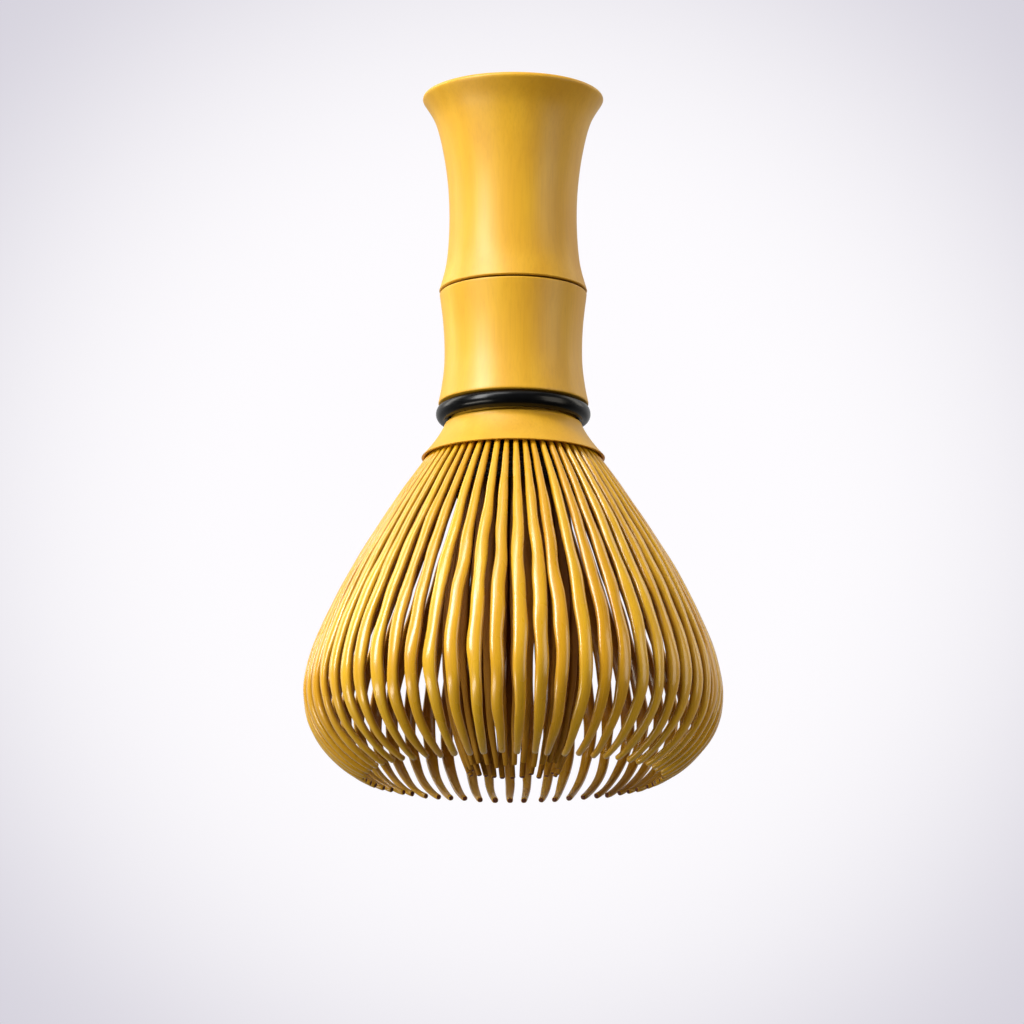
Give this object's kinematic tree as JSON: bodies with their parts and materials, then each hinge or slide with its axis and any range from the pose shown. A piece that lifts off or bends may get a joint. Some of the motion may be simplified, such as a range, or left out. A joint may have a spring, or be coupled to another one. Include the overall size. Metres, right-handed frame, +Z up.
{
  "type": "bamboo tea whisk",
  "caption": "Bamboo tea whisk: a waisted tubular handle with a flared rim, a black binding, a flared collar and a bulging cage of fine split tines that curl in at the tips.",
  "frame": {"origin": "on the whisk's axis, in the plane that the tips of the outer tines stand on", "axes": "+Z runs up the axis from the tines to the handle's rim; the whisk is round about Z; its front faces -Y, and the nearest outer tine stands 1.5 degrees from there, towards +X"},
  "size_m": [0.0658, 0.0658, 0.1112],
  "materials": {
    "bamboo_skin": "satin, smoothed and oiled",
    "bamboo_tine": "satin, split and shaved",
    "bamboo_inside": "matt, cut end grain",
    "binding": "smooth, semi-gloss",
    "thread": "matt twisted thread"
  },
  "bodies": {
    "root": {"handle_upper": "bamboo_skin", "handle_lower": "bamboo_skin", "collar": "bamboo_skin", "node_plug": "bamboo_inside", "root_core": "bamboo_inside", "binding_ring": "binding", "spreader_thread": "thread", "outer_stave_01": "bamboo_tine", "outer_stave_02": "bamboo_tine", "outer_stave_03": "bamboo_tine", "outer_stave_04": "bamboo_tine", "outer_stave_05": "bamboo_tine", "outer_stave_06": "bamboo_tine", "outer_stave_07": "bamboo_tine", "outer_stave_08": "bamboo_tine", "outer_stave_09": "bamboo_tine", "outer_stave_10": "bamboo_tine", "outer_stave_11": "bamboo_tine", "outer_stave_12": "bamboo_tine", "outer_stave_13": "bamboo_tine", "outer_stave_14": "bamboo_tine", "outer_stave_15": "bamboo_tine", "outer_stave_16": "bamboo_tine", "outer_stave_17": "bamboo_tine", "outer_stave_18": "bamboo_tine", "outer_stave_19": "bamboo_tine", "outer_stave_20": "bamboo_tine", "inner_stave_01": "bamboo_tine", "inner_stave_02": "bamboo_tine", "inner_stave_03": "bamboo_tine", "inner_stave_04": "bamboo_tine", "inner_stave_05": "bamboo_tine", "inner_stave_06": "bamboo_tine", "inner_stave_07": "bamboo_tine", "inner_stave_08": "bamboo_tine", "inner_stave_09": "bamboo_tine", "inner_stave_10": "bamboo_tine"}
  },
  "joints": []
}
